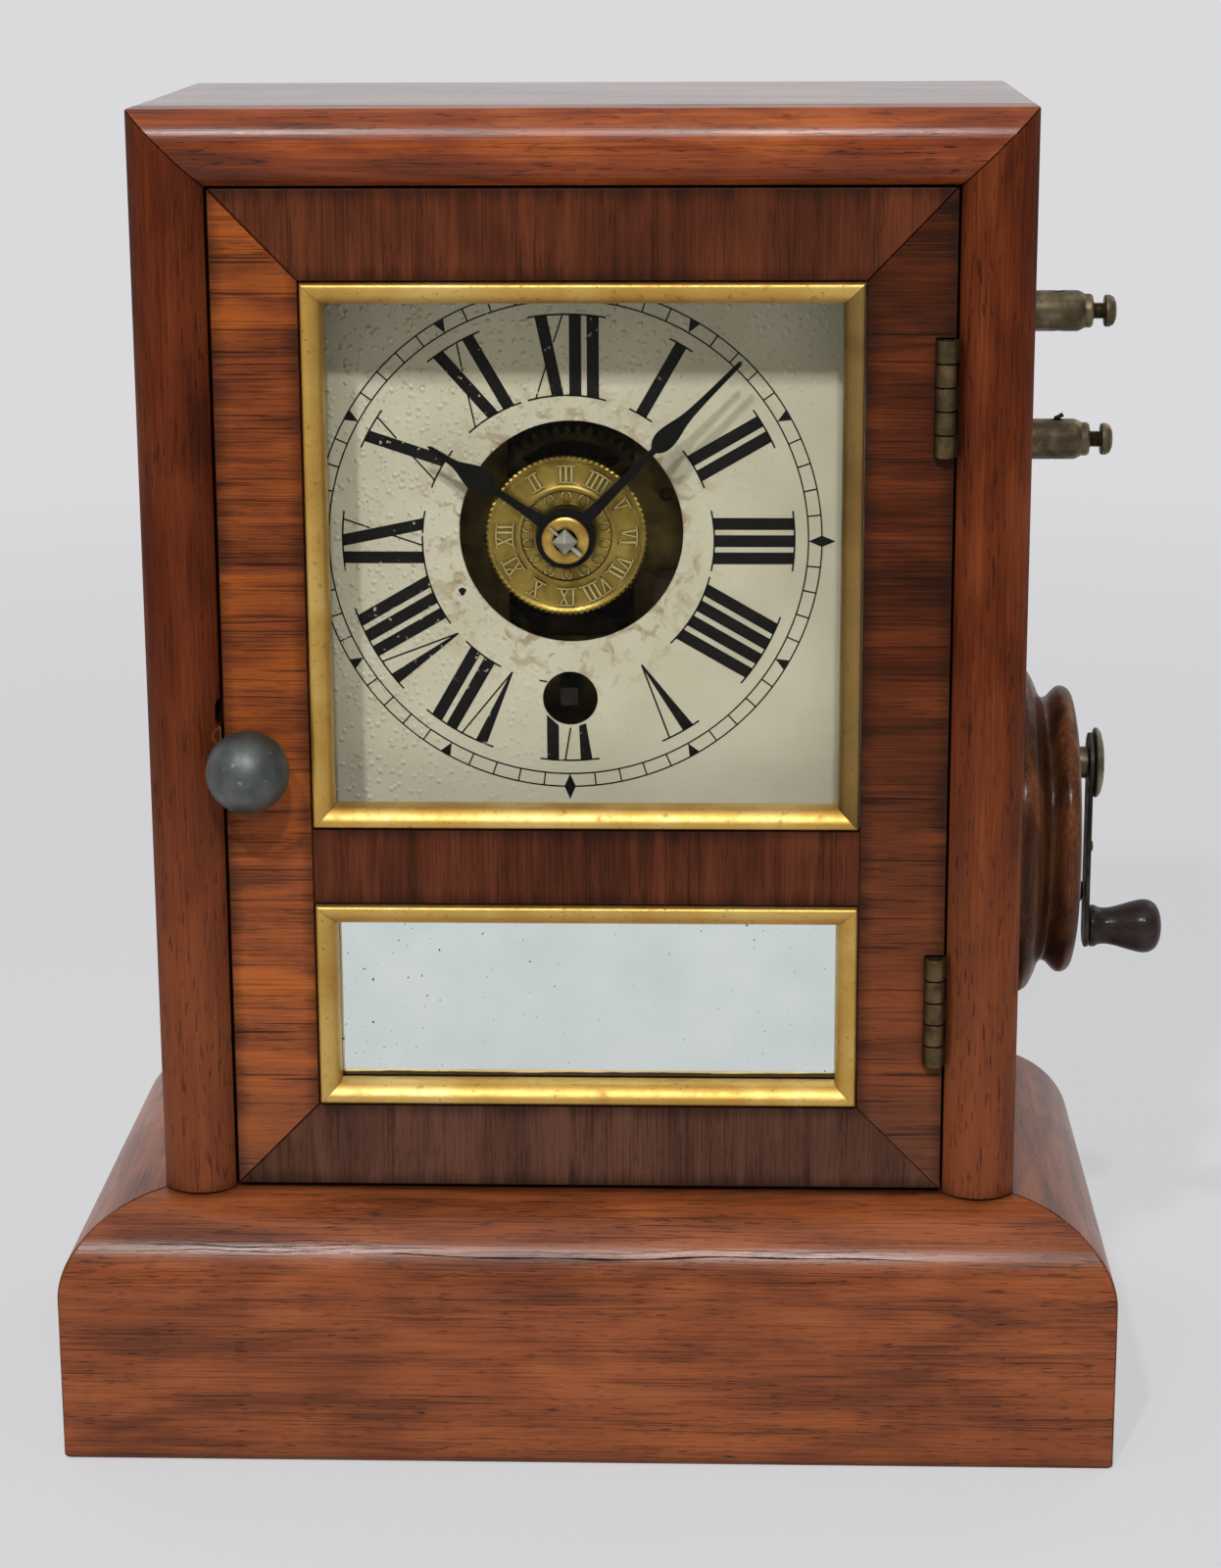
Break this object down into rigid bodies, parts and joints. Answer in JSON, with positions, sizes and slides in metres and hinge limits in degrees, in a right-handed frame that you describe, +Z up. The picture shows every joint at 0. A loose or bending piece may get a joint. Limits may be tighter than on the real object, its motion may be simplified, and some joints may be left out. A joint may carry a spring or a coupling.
{
  "type": "cottage shelf clock",
  "caption": "Veneered cottage shelf clock with a hinged glazed door, Roman dial, central alarm disc, spring-driven pendulum movement, and binding posts and a lever switch on its side.",
  "frame": {"origin": "middle of the plinth's underside", "axes": "+Z up, -Y out of the door's front, +X towards the hinge and switch side"},
  "size_m": [0.252, 0.1223, 0.3],
  "materials": {
    "mahogany": "polished veneer with worn varnish",
    "pine": "bare softwood",
    "gilt": "worn gold leaf over gesso",
    "glass": "clear window glass",
    "mirror": "old silvered glass",
    "brass": "aged brass",
    "steel": "plain steel",
    "blackened_steel": "blackened steel",
    "tarnished_metal": "dull grey tarnish",
    "dial_paint": "off-white paint on sheet metal",
    "fibre": "insulating fibre",
    "ebonised_wood": "black stained turned wood",
    "copper": "dull copper wire"
  },
  "bodies": {
    "case": {"left_side": "mahogany", "right_side": "mahogany", "top_board": "mahogany", "moulding_left": "mahogany", "moulding_right": "mahogany", "moulding_top": "mahogany", "plinth_front": "mahogany", "plinth_left": "mahogany", "plinth_right": "mahogany", "switch_base": "mahogany", "backboard": "pine", "floor_board": "pine", "bottom_board": "pine", "dial_strip_left": "pine", "dial_strip_right": "pine", "upper_hinge_case_leaf": "brass", "lower_hinge_case_leaf": "brass", "front_plate": "brass", "back_plate": "brass", "upper_terminal_post": "brass", "lower_terminal_post": "brass", "switch_pivot": "brass", "switch_stud": "brass", "upper_hinge_pin": "steel", "lower_hinge_pin": "steel", "mainspring": "steel", "dial": "dial_paint", "alarm_contact": "fibre", "wire_end": "copper"},
    "door": {"door_frame": "mahogany", "gilt_frame_upper": "gilt", "gilt_frame_lower": "gilt", "glass_pane": "glass", "mirror_pane": "mirror", "mirror_backing": "pine", "upper_hinge_door_leaf": "brass", "lower_hinge_door_leaf": "brass"},
    "latch": {"door_knob": "tarnished_metal", "door_latch": "brass"},
    "centre": {"centre_wheel": "brass", "minute_hand": "blackened_steel", "hand_collet": "brass", "hand_pin": "steel"},
    "hour": {"hour_wheel": "brass", "hour_hand": "blackened_steel"},
    "alarm": {"alarm_disc": "brass"},
    "minute": {"minute_wheel": "brass"},
    "great": {"great_wheel": "brass"},
    "winding": {"winding_arbor": "steel"},
    "click": {"click": "steel"},
    "third": {"third_wheel": "brass"},
    "escape": {"escape_wheel": "brass"},
    "verge": {"verge": "steel"},
    "pendulum": {"pendulum_rod": "steel", "pendulum_bob": "brass"},
    "lever": {"switch_blade": "brass", "switch_handle": "ebonised_wood"},
    "upper_screw": {"upper_terminal_screw": "brass"},
    "lower_screw": {"lower_terminal_screw": "brass"}
  },
  "joints": [
    {"name": "door_swing", "type": "hinge", "parent": "case", "child": "door", "pos_m": [0.0776, -0.0417, 0.17], "axis": [0, 0, 1], "range_deg": [0, 120]},
    {"name": "knob_turn", "type": "hinge", "parent": "door", "child": "latch", "pos_m": [-0.073, -0.0409, 0.1589], "axis": [0, 1, 0], "range_deg": [0, 90]},
    {"name": "minute_arbor", "type": "hinge", "parent": "case", "child": "centre", "pos_m": [-0.0046, 0.0091, 0.2055], "axis": [0, 1, 0], "continuous": true},
    {"name": "hour_turn", "type": "hinge", "parent": "case", "child": "hour", "pos_m": [-0.0046, -0.0069, 0.2055], "axis": [0, 1, 0], "continuous": true},
    {"name": "alarm_set", "type": "hinge", "parent": "hour", "child": "alarm", "pos_m": [-0.0046, -0.0159, 0.2055], "axis": [0, 1, 0], "continuous": true},
    {"name": "minute_wheel_turn", "type": "hinge", "parent": "case", "child": "minute", "pos_m": [0.00303, -0.0029, 0.19624], "axis": [0, 1, 0], "continuous": true},
    {"name": "great_wheel_turn", "type": "hinge", "parent": "case", "child": "great", "pos_m": [-0.0046, 0.0111, 0.1671], "axis": [0, 1, 0], "continuous": true},
    {"name": "winding", "type": "hinge", "parent": "great", "child": "winding", "pos_m": [-0.0046, 0.0131, 0.1671], "axis": [0, 1, 0], "range_deg": [0, 1800]},
    {"name": "click_lift", "type": "hinge", "parent": "great", "child": "click", "pos_m": [0.00507, 0.0131, 0.17677], "axis": [0, 1, 0], "range_deg": [0, 12]},
    {"name": "third_wheel_turn", "type": "hinge", "parent": "case", "child": "third", "pos_m": [0.01723, 0.0191, 0.21094], "axis": [0, 1, 0], "continuous": true},
    {"name": "escape_wheel_turn", "type": "hinge", "parent": "case", "child": "escape", "pos_m": [0.00993, 0.0251, 0.22902], "axis": [0, 1, 0], "continuous": true},
    {"name": "pendulum_swing", "type": "hinge", "parent": "case", "child": "pendulum", "pos_m": [0.00993, 0.0421, 0.24132], "axis": [0, 1, 0], "range_deg": [-4, 4]},
    {"name": "verge_rock", "type": "hinge", "parent": "case", "child": "verge", "pos_m": [0.00993, 0.0251, 0.24132], "axis": [0, 1, 0], "range_deg": [-4, 4]},
    {"name": "switch_lever", "type": "hinge", "parent": "case", "child": "lever", "pos_m": [0.115, 0.0071, 0.1469], "axis": [1, 0, 0], "range_deg": [-40, 40]},
    {"name": "upper_screw_travel", "type": "slide", "parent": "case", "child": "upper_screw", "axis": [1, 0, 0], "range_m": [-0.002, 0.004]},
    {"name": "lower_screw_travel", "type": "slide", "parent": "case", "child": "lower_screw", "axis": [1, 0, 0], "range_m": [0, 0.004]}
  ],
  "couplings": [
    {"joint": "hour_turn", "follows": "minute_arbor", "ratio": 0.083333},
    {"joint": "minute_wheel_turn", "follows": "minute_arbor", "ratio": -0.33333},
    {"joint": "great_wheel_turn", "follows": "minute_arbor", "ratio": -0.16667},
    {"joint": "third_wheel_turn", "follows": "minute_arbor", "ratio": -8},
    {"joint": "escape_wheel_turn", "follows": "minute_arbor", "ratio": 96},
    {"joint": "verge_rock", "follows": "pendulum_swing", "ratio": 1}
  ]
}
